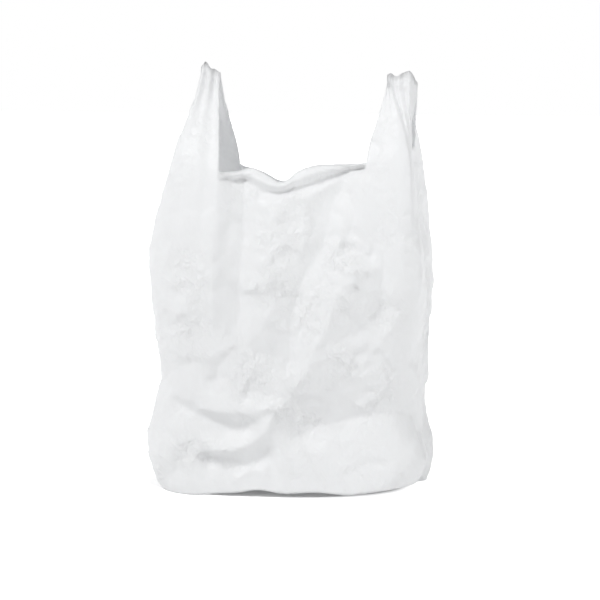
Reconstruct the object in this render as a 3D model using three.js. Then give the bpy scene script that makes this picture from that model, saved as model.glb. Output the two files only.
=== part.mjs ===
// Bin liner with two tie handles, made from one gusseted tube of thin white film and standing open.
// Millimetres, +Z up, the front faces -Y, and the origin is on the floor under the middle.
import * as THREE from 'three';

// The film, modelled thicker than it is so that it makes a solid
const filmWall = 0.5;
const weldBead = 1.2;

// The opened body
const bodyHalfWidth = 146;
const bodyHalfDepth = 77;
const rimHeight = 345;

// The mouth cut, and how far it has crept to the right of the middle
const mouthWidth = 154;
const mouthOffset = 7;
const gussetNotchWidth = 40;
const gussetNotchBottom = 351;
const gussetEdgeHeight = 364;

// The gathered top of each handle
const leftHandleTop = 453;
const rightHandleTop = 444;
const leftHandleX = -90;
const rightHandleX = 117;
const leftGatherWidth = 21;
const rightGatherWidth = 28;
const gatherThickness = 12;
const crownDrop = 9;
const strapPleatDepth = 2.2;
const strapPleats = 2.5;
// How much of the pleats and of the crown the layer inside each gather keeps
const innerLayerShare = 0.4;

// How finely the film is divided: spans across each zone and up each zone
const strapSpans = 7;
const mouthSpans = 14;
const notchSpans = 4;
const strapRows = 8;
// Width of the first span beside each handle, where the film folds under its edge
const pleatSpan = 4;

// Smooth value through a short list of [place, value] points
function profile(points) {
  return (place) => {
    const last = points.length - 1;
    if (place <= points[0][0]) return points[0][1];
    if (place >= points[last][0]) return points[last][1];
    let i = 0;
    while (place > points[i + 1][0]) i += 1;
    const slopeAt = (k) => {
      const before = points[Math.max(k - 1, 0)];
      const after = points[Math.min(k + 1, last)];
      return (after[1] - before[1]) / (after[0] - before[0]);
    };
    const [x0, y0] = points[i];
    const [x1, y1] = points[i + 1];
    const span = x1 - x0;
    const t = (place - x0) / span;
    const startBend = span * slopeAt(i) - (y1 - y0);
    const endBend = y1 - y0 - span * slopeAt(i + 1);
    return y0 + (y1 - y0) * t + t * (1 - t) * (startBend * (1 - t) + endBend * t);
  };
}

const mix = (a, b, t) => a + (b - a) * t;

// Value on the straight lines through a short list of [place, value] points
function polyline(points) {
  return (place) => {
    let i = 0;
    while (i < points.length - 2 && place > points[i + 1][0]) i += 1;
    const [x0, y0] = points[i];
    const [x1, y1] = points[i + 1];
    return mix(y0, y1, (place - x0) / (x1 - x0));
  };
}

const smooth = (t) => {
  const u = Math.min(Math.max(t, 0), 1);
  return u * u * (3 - 2 * u);
};

// Outline of the standing body: share of the half width or half depth against share of the rim height
const leftOutline = profile([
  [0, 0.93], [0.03, 0.97], [0.09, 1.01], [0.165, 1.025], [0.26, 1.0], [0.35, 0.955],
  [0.48, 0.98], [0.64, 1.015], [0.8, 0.97], [0.9, 0.92], [1, 0.86], [1.06, 0.82],
]);
const rightOutline = profile([
  [0, 0.95], [0.03, 0.975], [0.07, 1.0], [0.12, 1.01], [0.23, 0.945], [0.4, 0.945],
  [0.6, 0.985], [0.72, 0.985], [0.88, 0.94], [1, 0.905], [1.06, 0.89],
]);
const depthOutline = profile([
  [0, 1.09], [0.03, 1.085], [0.1, 1.06], [0.2, 1.01], [0.33, 0.985], [0.6, 1.02],
  [0.8, 0.95], [0.9, 0.89], [1, 0.81], [1.06, 0.74],
]);
const cornerRadius = profile([[0, 44], [0.3, 44], [0.6, 38], [0.85, 24], [1, 14]]);
const panelBulge = profile([[0, 7], [0.2, 7], [0.6, 6], [1, 2]]);

// Rim of the mouth and the crease under its turned-in collar, in mm above or below the rim height,
// against the place across the mouth from its left end to its right
const frontRim = profile([
  [0, -4], [0.1, -4], [0.21, 0], [0.31, -6], [0.4, -13], [0.46, -12], [0.51, -6], [0.58, 0],
  [0.7, 4], [0.88, 4], [1, 7],
]);
const frontCollar = profile([
  [0, 6], [0.14, 11], [0.28, 19], [0.44, 11], [0.56, 18], [0.68, 16], [0.86, 7], [1, 5],
]);
const rearRim = profile([
  [0, -6], [0.17, -14], [0.31, -24], [0.45, -15], [0.58, -12], [0.76, -12], [0.88, -5], [1, 5],
]);
const rearCollar = profile([[0, 7], [0.3, 14], [0.6, 12], [1, 6]]);
const strapCollar = 6;
// How far inwards the film leans down its collar, from the rim (0) over the roll to the crease
// under it (1) and out again below
const collarTurn = [[0, 6], [0.25, 2], [0.5, 0], [1, 8], [1.7, 0]];

// The foot's front right corner is lifted off the floor, and its front edge a little, in waves
const cornerLift = 14;
const cornerLiftFrom = [132, -34];
const cornerLiftReach = 70;
const cornerLiftHeight = 45;
const edgeLift = profile([
  [-0.7, 0], [-0.53, 2.5], [-0.37, 4], [-0.2, 7.5], [0.01, 4.5], [0.27, 6.5], [0.52, 4], [0.64, 6],
  [0.74, 5], [0.95, 2], [1.1, 0],
]);
const edgeLiftHeight = 30;

// One quarter of the body's round-cornered section. "along" is in mm from the middle of the panel,
// round the corner, to the middle of the gusset, so mouth stations keep their x at every height.
function quarter(halfWidth, halfDepth, radius, bulge) {
  const flat = halfWidth - radius;
  const arc = radius * Math.PI / 4;
  const fold = flat + arc;
  const end = fold + arc + halfDepth - radius;
  const at = (along) => {
    const out = bulge * (1 - Math.min(along / fold, 1) ** 2);
    if (along <= flat) return [along, halfDepth + out];
    if (along <= flat + 2 * arc) {
      const angle = (along - flat) / radius;
      return [flat + radius * Math.sin(angle), halfDepth - radius * (1 - Math.cos(angle)) + out];
    }
    return [halfWidth, end - along];
  };
  return { fold, end, at };
}

function quarterAt(height, isRight) {
  const up = height / rimHeight;
  const outline = isRight ? rightOutline : leftOutline;
  return quarter(outline(up) * bodyHalfWidth, depthOutline(up) * bodyHalfDepth,
    cornerRadius(up), panelBulge(up));
}

// Distance round the tube at mid height, and the mouth's two edges as places round it
const midQuarter = quarterAt(rimHeight / 2, true);
const mouthLeft = mouthOffset - mouthWidth / 2;
const mouthRight = mouthOffset + mouthWidth / 2;
const leftEdge = mouthLeft / midQuarter.fold;
const rightEdge = mouthRight / midQuarter.fold;

// Creases and soft folds, drawn on the tube as [around, up]. Around is 0 at the middle of the
// front, 1 at the front right corner, 2 and 3 at the rear right corner and the middle of the rear,
// 4 at the rear left corner and 5 (or -1) at the front left one. Up is the share of the rim height.
// "left" and "right" are how softly the fold dies away on each side of its path.
const folds = [
  // Under each handle the strap stands proud of the panel between them
  {
    path: [[leftEdge, 1.08], [leftEdge, 0.72], [leftEdge, 0.35]],
    rise: 9, left: 13, right: 40, crisp: 1.2, fade: 0.5,
  },
  { path: [[3 - leftEdge, 1.08], [3 - leftEdge, 0.45]], rise: 7, left: 46, right: 3, crisp: 2, fade: 0.3 },
  { path: [[3 - rightEdge, 1.08], [3 - rightEdge, 0.5]], rise: 7, left: 3, right: 40, crisp: 2, fade: 0.3 },
  // The front of the right handle runs down to the left as a long facet: a valley on its left, a ridge
  // on its right, and the ridge's end curls round to the left as the lip of a hollow
  {
    path: [[0.495, 1.0], [0.428, 0.942], [0.363, 0.888], [0.317, 0.823], [0.292, 0.767], [0.186, 0.7],
      [0.1, 0.627], [0.062, 0.536], [0.03, 0.42], [0, 0.34]],
    rise: -10, left: 14, right: 24, fade: 0.14,
  },
  {
    path: [[0.528, 0.8], [0.54, 0.68], [0.444, 0.615], [0.396, 0.571], [0.326, 0.497], [0.262, 0.456],
      [0.206, 0.407], [0.146, 0.357], [0.04, 0.3]],
    rise: 10, left: 18, right: 15,
  },
  {
    path: [[0.08, 0.31], [0, 0.285], [-0.06, 0.258], [-0.129, 0.201], [-0.203, 0.175], [-0.274, 0.156],
      [-0.378, 0.143], [-0.512, 0.136], [-0.68, 0.14]],
    rise: 6.5, left: 6, right: 11, fade: 0.18,
  },
  // The hollow above that lip and the lip above the hollow
  {
    path: [[-0.95, 0.295], [-0.737, 0.262], [-0.564, 0.233], [-0.397, 0.208], [-0.287, 0.211],
      [-0.153, 0.245]],
    rise: -8, left: 9, right: 15,
  },
  {
    path: [[-0.72, 0.262], [-0.402, 0.257], [-0.233, 0.258], [-0.114, 0.273], [0.083, 0.276]],
    rise: 4.5, left: 14, right: 5,
  },
  {
    path: [[-0.7, 0.115], [-0.499, 0.112], [-0.287, 0.101], [-0.159, 0.124], [-0.02, 0.16]],
    rise: -8, left: 8, right: 24,
  },
  { path: [[-0.33, 0.33], [-0.167, 0.31], [-0.03, 0.309]], rise: -3, left: 8, right: 6 },
  { path: [[-0.64, 0.345], [-0.423, 0.368]], rise: -3, left: 8, right: 6 },
  { path: [[0.08, 0.305], [0.197, 0.32], [0.34, 0.325]], rise: 2.5, left: 5, right: 6 },
  // The crease low on the right, over a belly of slack film
  {
    path: [[-0.02, 0.15], [0.085, 0.184], [0.207, 0.207], [0.319, 0.222], [0.596, 0.247], [0.88, 0.257],
      [1.25, 0.25]],
    rise: -14, left: 34, right: 30, crisp: 1.1, fade: 0.15,
  },
  { path: [[0.442, 0.225], [0.427, 0.169], [0.455, 0.1]], rise: -2.5, left: 7, right: 12 },
  { path: [[-1.35, 0.17], [-1, 0.13], [-0.8, 0.1]], rise: 5, left: 18, right: 18, crisp: 2 },
  { path: [[-1.1, 0.2], [-0.83, 0.12], [-0.75, 0.04]], rise: -4, left: 9, right: 12 },
  // Crumpled patch below the right handle, and the facets under it
  { path: [[0.37, 0.8], [0.427, 0.743], [0.47, 0.7]], rise: 3, left: 6, right: 6, fade: 0.25 },
  { path: [[0.4, 0.722], [0.481, 0.697], [0.613, 0.704], [0.76, 0.7]], rise: 6, left: 7, right: 10 },
  { path: [[0.42, 0.775], [0.55, 0.755], [0.72, 0.74]], rise: -7, left: 15, right: 7 },
  { path: [[0.5, 0.95], [0.54, 0.85], [0.5, 0.78]], rise: -3, left: 7, right: 9 },
  { path: [[0.545, 0.5], [0.72, 0.56], [0.87, 0.52]], rise: -3, left: 10, right: 8 },
  { path: [[0.4, 0.48], [0.6, 0.4], [0.72, 0.32]], rise: 3, left: 10, right: 16 },
  { path: [[0.96, 1.04], [1.0, 0.88], [1.04, 0.74], [1.06, 0.55]], rise: 6, left: 9, right: 20 },
  { path: [[0.734, 0.9], [0.76, 0.7], [0.75, 0.5], [0.78, 0.36]], rise: -3.5, left: 10, right: 12 },
  // The panel between the handles
  { path: [[0.35, 0.96], [0.264, 0.864], [0.17, 0.788]], rise: -3, left: 14, right: 16, fade: 0.25 },
  {
    path: [[-0.35, 1.0], [-0.33, 0.78], [-0.37, 0.52], [-0.33, 0.36]],
    rise: -8, left: 13, right: 20, fade: 0.3,
  },
  { path: [[-0.184, 0.9], [-0.099, 0.857], [0, 0.84]], rise: 3, left: 8, right: 6, fade: 0.25 },
  { path: [[-0.2, 0.74], [-0.1, 0.68], [-0.175, 0.6]], rise: 3.5, left: 7, right: 8, fade: 0.25 },
  { path: [[-0.02, 0.77], [0.05, 0.74], [0.13, 0.75]], rise: -3, left: 6, right: 8, fade: 0.25 },
  { path: [[-0.256, 0.56], [-0.262, 0.467], [-0.25, 0.34]], rise: 3, left: 9, right: 6 },
  { path: [[-0.13, 0.53], [-0.04, 0.48], [-0.08, 0.4]], rise: -3, left: 8, right: 10 },
  // The left shoulder and side
  { path: [[-0.62, 1.0], [-0.66, 0.82], [-0.64, 0.6], [-0.68, 0.45]], rise: -2.5, left: 8, right: 10 },
  { path: [[-0.85, 1.0], [-0.88, 0.78], [-0.83, 0.55]], rise: -3.5, left: 9, right: 12 },
  { path: [[-1.1, 0.96], [-1.14, 0.8], [-1.06, 0.62]], rise: 3, left: 9, right: 7 },
  { path: [[-1.15, 0.33], [-0.87, 0.385], [-0.66, 0.42]], rise: -3, left: 9, right: 12 },
  // Gussets: creased in at the notch, slack in the middle, tucked in again at the weld
  { path: [[1.5, 1.06], [1.5, 0.8], [1.52, 0.55]], rise: -12, left: 20, right: 20, fade: 0.5 },
  { path: [[4.5, 1.06], [4.5, 0.8], [4.47, 0.55]], rise: -12, left: 20, right: 20, fade: 0.5 },
  { path: [[1.5, 0], [1.5, 0.1], [1.47, 0.24]], rise: -14, left: 15, right: 15, fade: 0.5 },
  { path: [[4.5, 0], [4.5, 0.1], [4.53, 0.24]], rise: -14, left: 15, right: 15, fade: 0.5 },
  { path: [[1.18, 0.27], [1.27, 0.18], [1.2, 0.09]], rise: -6, left: 7, right: 9 },
  { path: [[1.75, 0.3], [1.62, 0.42], [1.7, 0.6]], rise: 4, left: 10, right: 16 },
  { path: [[4.25, 0.28], [4.38, 0.42], [4.3, 0.62]], rise: 4, left: 16, right: 10 },
  // The rear, slack in the same way from the left handle down to the right
  {
    path: [[3.46, 0.98], [3.3, 0.85], [3.12, 0.66], [2.95, 0.45], [2.92, 0.3]],
    rise: 6.5, left: 12, right: 18,
  },
  { path: [[3.15, 0.9], [3.0, 0.72], [2.82, 0.5]], rise: -5, left: 14, right: 12 },
  { path: [[2.15, 0.24], [2.55, 0.2], [2.9, 0.215], [3.3, 0.27]], rise: -6.5, left: 11, right: 20 },
  { path: [[2.5, 0.27], [2.9, 0.285], [3.2, 0.34]], rise: 4, left: 8, right: 12 },
  { path: [[2.6, 0.13], [3.0, 0.11], [3.5, 0.14]], rise: 4, left: 14, right: 10 },
  { path: [[2.75, 0.85], [2.62, 0.7], [2.7, 0.55]], rise: -4, left: 10, right: 10 },
  { path: [[3.75, 0.72], [3.68, 0.55], [3.78, 0.4]], rise: -4, left: 10, right: 10 },
  { path: [[2.1, 0.8], [2.2, 0.62], [2.12, 0.42]], rise: -3.5, left: 10, right: 10 },
];

// Distance round the tube for a place given as in the list of folds
const cornerSpan = midQuarter.end - midQuarter.fold;
const roundTube = 4 * midQuarter.end;
function roundDistance(around) {
  const turns = Math.floor((around + 1) / 6);
  const place = around - 6 * turns;
  const stops = [[-1, -1, 0], [0, 0, 0], [1, 1, 0], [2, 1, 2], [3, 2, 2], [4, 3, 2], [5, 3, 4]];
  const i = Math.min(Math.max(Math.floor(place) + 1, 0), stops.length - 2);
  const t = place - stops[i][0];
  const panels = mix(stops[i][1], stops[i + 1][1], t);
  const corners = mix(stops[i][2], stops[i + 1][2], t);
  return panels * midQuarter.fold + corners * cornerSpan + turns * roundTube;
}

// Between the folds the slack film is crumpled all over, in creases about 50 mm apart. Their places,
// turns and sizes are spread evenly by multiples of uneven shares.
const creaseCount = 96;
const creaseLength = [34, 66];
const creaseRise = [1.2, 2.8];
const creaseSoftness = [6, 11];
const creaseBend = 0.4;
const uneven = (number, step) => (0.5 + number * step) % 1;

for (let number = 0; number < creaseCount; number += 1) {
  const around = 6 * uneven(number, 0.7549);
  const up = mix(0.05, 0.95, uneven(number, 0.5698));
  const turn = Math.PI * uneven(number, 0.618);
  const halfLength = mix(...creaseLength, uneven(number, 0.37)) / 2;
  const bend = halfLength * mix(-creaseBend, creaseBend, uneven(number, 0.43));
  const path = [[-halfLength, 0], [0, bend], [halfLength, 0]].map(([along, aside]) => [
    around + (along * Math.cos(turn) - aside * Math.sin(turn)) / midQuarter.fold,
    up + (along * Math.sin(turn) + aside * Math.cos(turn)) / rimHeight,
  ]);
  const rise = mix(...creaseRise, uneven(number, 0.29)) * (number % 2 === 1 ? 1 : -1);
  const left = mix(...creaseSoftness, uneven(number, 0.53));
  const right = mix(...creaseSoftness, uneven(number, 0.83));
  folds.push({ path, rise, left, right });
}

// Share of its length over which a fold fades at each end, and how far on that fade its start is
const usualFade = 0.2;
const startOnFade = 0.15;
// How sharp a fold's crest is: 1 is a pointed crest and 2 a round one
const usualCrispness = 1.25;

// Height of one fold at a point of the tube
function foldHeight(fold, across, height) {
  const points = fold.path.map(([around, up]) => [roundDistance(around), up * rimHeight]);
  const lengths = [0];
  for (let i = 1; i < points.length; i += 1) {
    const [fromX, fromY] = points[i - 1];
    lengths.push(lengths[i - 1] + Math.hypot(points[i][0] - fromX, points[i][1] - fromY));
  }
  const total = lengths[points.length - 1];
  let best = { gap: Infinity, side: 1, along: 0 };
  for (let i = 1; i < points.length; i += 1) {
    const [ax, ay] = points[i - 1];
    const dx = points[i][0] - ax;
    const dy = points[i][1] - ay;
    const shift = Math.round((across - ax) / roundTube) * roundTube;
    const px = across - shift - ax;
    const py = height - ay;
    const t = Math.min(Math.max((px * dx + py * dy) / (dx * dx + dy * dy), 0), 1);
    const gap = Math.hypot(px - t * dx, py - t * dy);
    const along = mix(lengths[i - 1], lengths[i], t) / total;
    if (gap < best.gap) best = { gap, side: dx * py - dy * px, along };
  }
  const soft = best.side > 0 ? fold.left : fold.right;
  const fade = fold.fade ?? usualFade;
  const startsAtRim = fold.path[0][1] >= 1;
  const fadeIn = smooth(best.along / fade + (startsAtRim ? 1 : startOnFade));
  const ends = fadeIn * smooth((1 - best.along) / fade);
  const crisp = fold.crisp ?? usualCrispness;
  return fold.rise * ends * Math.exp(-((best.gap / soft) ** crisp));
}

// Stations round the tube, anticlockwise from the left end of the front mouth
const stations = [];
const mouthPlace = (i) => {
  if (i === 0) return 0;
  if (i === mouthSpans) return 1;
  const evenStep = (mouthWidth - 2 * pleatSpan) / (mouthSpans - 2);
  return (pleatSpan + (i - 1) * evenStep) / mouthWidth;
};
function addStations(zone, isRear, isRight, spans, turned) {
  for (let i = 0; i < spans; i += 1) {
    const share = zone === 'mouth' ? mouthPlace(i) : i / spans;
    stations.push({ zone, isRear, isRight, share: turned ? 1 - share : share });
  }
}
addStations('mouth', false, true, mouthSpans, false);
addStations('panel', false, true, strapSpans, false);
addStations('gusset', false, true, strapSpans, false);
addStations('notch', false, true, notchSpans / 2, false);
addStations('notch', true, true, notchSpans / 2, true);
addStations('gusset', true, true, strapSpans, true);
addStations('panel', true, true, strapSpans, true);
addStations('mouth', true, true, mouthSpans, true);
addStations('panel', true, false, strapSpans, false);
addStations('gusset', true, false, strapSpans, false);
addStations('notch', true, false, notchSpans / 2, false);
addStations('notch', false, false, notchSpans / 2, true);
addStations('gusset', false, false, strapSpans, true);
addStations('panel', false, false, strapSpans, true);

// Where a station's film ends at the top, and how deep its collar is
function topOf(station) {
  const { zone, isRear, isRight, share } = station;
  const rim = isRear ? rearRim : frontRim;
  const mouthEnd = rimHeight + rim(isRight ? 1 : 0);
  if (zone === 'mouth') {
    return { top: rimHeight + rim(share), collar: (isRear ? rearCollar : frontCollar)(share) };
  }
  if (zone === 'panel') return { top: mix(mouthEnd, gussetEdgeHeight, share / 2), collar: strapCollar };
  if (zone === 'gusset') {
    return { top: mix(mouthEnd, gussetEdgeHeight, (1 + share) / 2), collar: strapCollar };
  }
  return { top: mix(gussetEdgeHeight, gussetNotchBottom, smooth(share)), collar: strapCollar };
}

// Point of the body at a station and a height, before the collar turns in
function bodyPoint(station, height, lean) {
  const { zone, isRear, isRight, share } = station;
  const toRight = zone !== 'mouth' || mix(mouthLeft, mouthRight, share) > 0;
  const shape = quarterAt(height, zone === 'mouth' ? toRight : isRight);
  const mouthEnd = isRight ? mouthRight : -mouthLeft;
  const notch = shape.end - gussetNotchWidth / 2;
  let along = 0;
  if (zone === 'mouth') along = Math.abs(mix(mouthLeft, mouthRight, share));
  if (zone === 'panel') along = mix(mouthEnd, shape.fold, share);
  if (zone === 'gusset') along = mix(shape.fold, notch, share);
  if (zone === 'notch') along = mix(notch, shape.end, share);
  const [x, y] = shape.at(along);
  const sideX = (zone === 'mouth' ? toRight : isRight) ? 1 : -1;
  const sideY = isRear ? 1 : -1;
  // The same place measured round the tube, where the folds are drawn
  const round = along <= shape.fold
    ? along * midQuarter.fold / Math.max(shape.fold, midQuarter.fold)
    : midQuarter.fold + (along - shape.fold) * cornerSpan / (shape.end - shape.fold);
  const fromFront = isRear ? roundTube / 2 - round : round;
  const across = fromFront * sideX;
  let rise = 0;
  for (const fold of folds) rise += foldHeight(fold, across, height);
  const onSide = smooth(0.5 + (along - shape.fold) / (shape.end - shape.fold));
  const push = rise - lean;
  const planX = sideX * (x + push * onSide);
  const planY = sideY * (y + push * (1 - onSide));
  const fromCorner = Math.hypot(planX - cornerLiftFrom[0], planY - cornerLiftFrom[1]);
  let lift = cornerLift * Math.max(1 - (fromCorner / cornerLiftReach) ** 2, 0)
    * smooth(1 - height / cornerLiftHeight);
  if (!isRear) lift += edgeLift(sideX * round / midQuarter.fold) * smooth(1 - height / edgeLiftHeight);
  return new THREE.Vector3(planX, planY, height + lift);
}

// The film's outer face: rings over the floor, then rows up the wall to the crease and the rim
const floorRings = [0.4, 0.75];
const wallRows = [0, 0.01, 0.03, 0.055, 0.085, 0.12, 0.155, 0.19, 0.23, 0.275, 0.325, 0.385, 0.45, 0.52,
  0.59, 0.65, 0.71, 0.765, 0.82];
const collarRows = [...collarTurn].reverse();
const outer = [];
const wall = [];
const columns = stations.map(() => []);
const weldEnd = 0.86;
const weldStep = 0.1;
const weldVertices = new Map();

function addVertex(point, thickness) {
  outer.push(point);
  wall.push(thickness);
  return outer.length - 1;
}

stations.forEach((station, i) => {
  const floorEdge = bodyPoint(station, 0, 0);
  const { zone, isRight, share } = station;
  const footShape = quarterAt(0, isRight);
  const corner = (isRight ? 1 : -1) * footShape.at(footShape.fold)[0];
  const mouthEnd = isRight ? mouthRight : mouthLeft;
  const weldSpans = { mouth: mix(mouthLeft, mouthRight, share), panel: mix(mouthEnd, corner, share) };
  const weldX = weldEnd * (weldSpans[zone] ?? corner);
  const weld = new THREE.Vector3(weldX, 0, 0);
  // Front and rear stations that meet on the weld share its vertex
  const weldKey = Math.round(weldX / weldStep);
  if (!weldVertices.has(weldKey)) weldVertices.set(weldKey, addVertex(weld, filmWall + weldBead));
  columns[i].push(weldVertices.get(weldKey));
  for (const ring of floorRings) {
    columns[i].push(addVertex(weld.clone().lerp(floorEdge, ring), filmWall));
  }
  const { top, collar } = topOf(station);
  for (const row of wallRows) {
    const height = row * rimHeight;
    columns[i].push(addVertex(bodyPoint(station, height, 0), filmWall));
  }
  const isRolled = zone === 'mouth' && share > 0 && share < 1;
  for (const [row, lean] of collarRows) {
    columns[i].push(addVertex(bodyPoint(station, top - collar * row, isRolled ? lean : 0), filmWall));
  }
});

const quads = [];
function joinColumns(a, b) {
  for (let j = 1; j < a.length; j += 1) quads.push([a[j - 1], b[j - 1], b[j], a[j]]);
}
columns.forEach((column, i) => joinColumns(column, columns[(i + 1) % columns.length]));

// A handle: a band of film that rises from the front, closes over its gathered top and comes down
// to the rear. Its columns run from the mouth's edge, round the corner fold, to the notch's edge.
function bandColumns(isRear, isRight) {
  const picked = [];
  stations.forEach((station, i) => {
    const inBand = station.isRight === isRight || station.zone === 'mouth';
    if (station.isRear !== isRear || !inBand) return;
    const place = { mouth: 0, panel: station.share, gusset: 1 + station.share, notch: 2 }[station.zone];
    const isMouthEnd = station.zone === 'mouth' && station.share === (isRight ? 1 : 0);
    const isNotchEdge = station.zone === 'notch' && station.share === 0;
    if (isMouthEnd || isNotchEdge || station.zone === 'panel' || station.zone === 'gusset') {
      picked.push([place, i]);
    }
  });
  picked.sort((a, b) => a[0] - b[0]);
  return picked;
}

// The gathered top of each handle against the place in its band (0 mouth edge, 1 corner fold, 2 notch
// edge): across in shares of its width, deep in shares of half its thickness, and its crown in mm
const leftGather = {
  x: leftHandleX,
  width: leftGatherWidth,
  top: leftHandleTop,
  across: polyline([[0, 0.5], [1, -0.5], [2, 0.35]]),
  deep: polyline([[0, 1], [1, 0.75], [1.25, 0.3], [2, 0.3]]),
  crown: profile([[0, -12], [0.3, -8], [0.5, -7], [0.75, 0], [1, -5], [1.5, -9], [2, -10]]),
};
const rightGather = {
  x: rightHandleX,
  width: rightGatherWidth,
  top: rightHandleTop,
  across: polyline([[0, -0.64], [1, -0.5], [2, 0.5]]),
  deep: polyline([[0, 0.5], [1, 1.3], [2, 0.45]]),
  crown: profile([[0, -4], [1, -2], [1.2, -5], [1.5, -1], [1.75, 0], [2, -11]]),
};

function gatherPoint(place, isRight, sideY) {
  const gather = isRight ? rightGather : leftGather;
  const x = gather.x + gather.width * gather.across(place);
  const depth = gather.deep(place) * gatherThickness / 2;
  return new THREE.Vector3(x, sideY * depth, gather.top + gather.crown(place) - crownDrop);
}

// On the left the gusset part of the band lies inside the gather, and on the right the panel part
const isInnerLayer = (place, isRight) => (isRight ? place < 1 : place > 1);

// How the strap leaves the body: the share of the body's own slope that its panel part keeps, and of
// the slope sideways. How it arrives: shares of its overall slope, for panel part and gusset part.
const keptSlope = 0.8;
const keptSideSlope = 0.5;
const arrivalAcross = 0.7;
const panelArrivalDeep = 0.45;
const gussetArrivalDeep = 1.9;
// The pleats are full from this share of the strap's height
const pleatsFull = 0.8;

function strapCurve(foot, below, gather, place, sideY, isRight) {
  const rise = gather.z - foot.z;
  const footDirection = foot.clone().sub(below).normalize();
  footDirection.x *= keptSideSlope;
  const lean = new THREE.Vector3((gather.x - foot.x) / rise, (gather.y - foot.y) / rise, 1);
  // The gusset part keeps upright beside the hand hole and closes over it near the top
  const upright = smooth(place - 1);
  const start = footDirection.lerp(lean, mix(1 - keptSlope, 0, upright)).multiplyScalar(rise);
  start.y *= 1 - upright;
  const arrivalDeep = mix(panelArrivalDeep, gussetArrivalDeep, upright);
  const end = new THREE.Vector3(lean.x * arrivalAcross, lean.y * arrivalDeep, 1).multiplyScalar(rise);
  const pleatDepth = strapPleatDepth * (isInnerLayer(place, isRight) ? innerLayerShare : 1);
  const points = [];
  for (let row = 1; row <= strapRows; row += 1) {
    const t = row / strapRows;
    const t2 = t * t;
    const t3 = t2 * t;
    const point = foot.clone().multiplyScalar(2 * t3 - 3 * t2 + 1)
      .addScaledVector(start, t3 - 2 * t2 + t)
      .addScaledVector(gather, 3 * t2 - 2 * t3)
      .addScaledVector(end, t3 - t2);
    const wave = Math.sin(place * strapPleats * Math.PI * 2);
    point.y += sideY * pleatDepth * smooth(t / pleatsFull) * wave;
    points.push(point);
  }
  return points;
}

for (const isRight of [false, true]) {
  const front = bandColumns(false, isRight);
  const rear = bandColumns(true, isRight);
  const ribbons = front.map(([place, frontIndex], k) => {
    const sides = [[frontIndex, -1], [rear[k][1], 1]].map(([index, sideY]) => {
      const column = columns[index];
      const foot = outer[column[column.length - 1]];
      const below = outer[column[column.length - 3]];
      const gather = gatherPoint(place, isRight, sideY);
      const rising = strapCurve(foot, below, gather, place, sideY, isRight)
        .map((point) => addVertex(point, filmWall));
      return [column[column.length - 1], ...rising];
    });
    const crown = gatherPoint(place, isRight, 0);
    crown.z += crownDrop * (!isRight && isInnerLayer(place, isRight) ? innerLayerShare : 1);
    const crownVertex = addVertex(crown, filmWall);
    return [...sides[0], crownVertex, ...sides[1].reverse()];
  });
  for (let k = 1; k < ribbons.length; k += 1) {
    if (isRight) joinColumns(ribbons[k - 1], ribbons[k]);
    else joinColumns(ribbons[k], ribbons[k - 1]);
  }
}

// Both faces of the film: the outer face, the inner face set back by the wall, and the cut edges
function filmSolid() {
  const triangles = [];
  for (const quad of quads) {
    const [a, b, c, d] = quad.filter((v, i) => quad.indexOf(v) === i);
    if (c === undefined) continue;
    if (d === undefined) triangles.push([a, b, c]);
    else {
      const splitAC = outer[a].distanceTo(outer[c]) < outer[b].distanceTo(outer[d]);
      if (splitAC) triangles.push([a, b, c], [a, c, d]);
      else triangles.push([a, b, d], [b, c, d]);
    }
  }
  const normals = outer.map(() => new THREE.Vector3());
  for (const [a, b, c] of triangles) {
    const side = outer[b].clone().sub(outer[a]);
    const other = outer[c].clone().sub(outer[a]);
    const normal = side.cross(other);
    for (const v of [a, b, c]) normals[v].add(normal);
  }
  const inner = outer.map((point, v) => point.clone().addScaledVector(normals[v].normalize(), -wall[v]));
  const positions = [...outer, ...inner].flatMap((point) => [point.x, point.y, point.z]);
  const edges = new Set();
  for (const [a, b, c] of triangles) {
    for (const [from, to] of [[a, b], [b, c], [c, a]]) edges.add(`${from} ${to}`);
  }
  const count = outer.length;
  const index = [];
  for (const [a, b, c] of triangles) {
    index.push(a, b, c, count + a, count + c, count + b);
    for (const [from, to] of [[a, b], [b, c], [c, a]]) {
      if (!edges.has(`${to} ${from}`)) {
        index.push(from, count + from, to, to, count + from, count + to);
      }
    }
  }
  const geometry = new THREE.BufferGeometry();
  geometry.setAttribute('position', new THREE.Float32BufferAttribute(positions, 3));
  geometry.setIndex(index);
  geometry.computeVertexNormals();
  return geometry;
}

const film = new THREE.MeshStandardMaterial({
  color: 0xf2f3f4,
  roughness: 0.42,
  metalness: 0,
  side: THREE.DoubleSide,
});
const filmGeometry = filmSolid();
const liner = new THREE.Mesh(filmGeometry, film);
liner.name = 'liner';

// The film is drawn about the middle of the body, and stands with its own middle over the origin
filmGeometry.computeBoundingBox();
const filmMiddle = filmGeometry.boundingBox.getCenter(new THREE.Vector3());
liner.position.set(-filmMiddle.x, -filmMiddle.y, 0);

const binLiner = new THREE.Group();
binLiner.add(liner);
export default binLiner;
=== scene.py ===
import math

import bpy
import numpy as np
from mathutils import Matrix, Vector, noise


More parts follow.
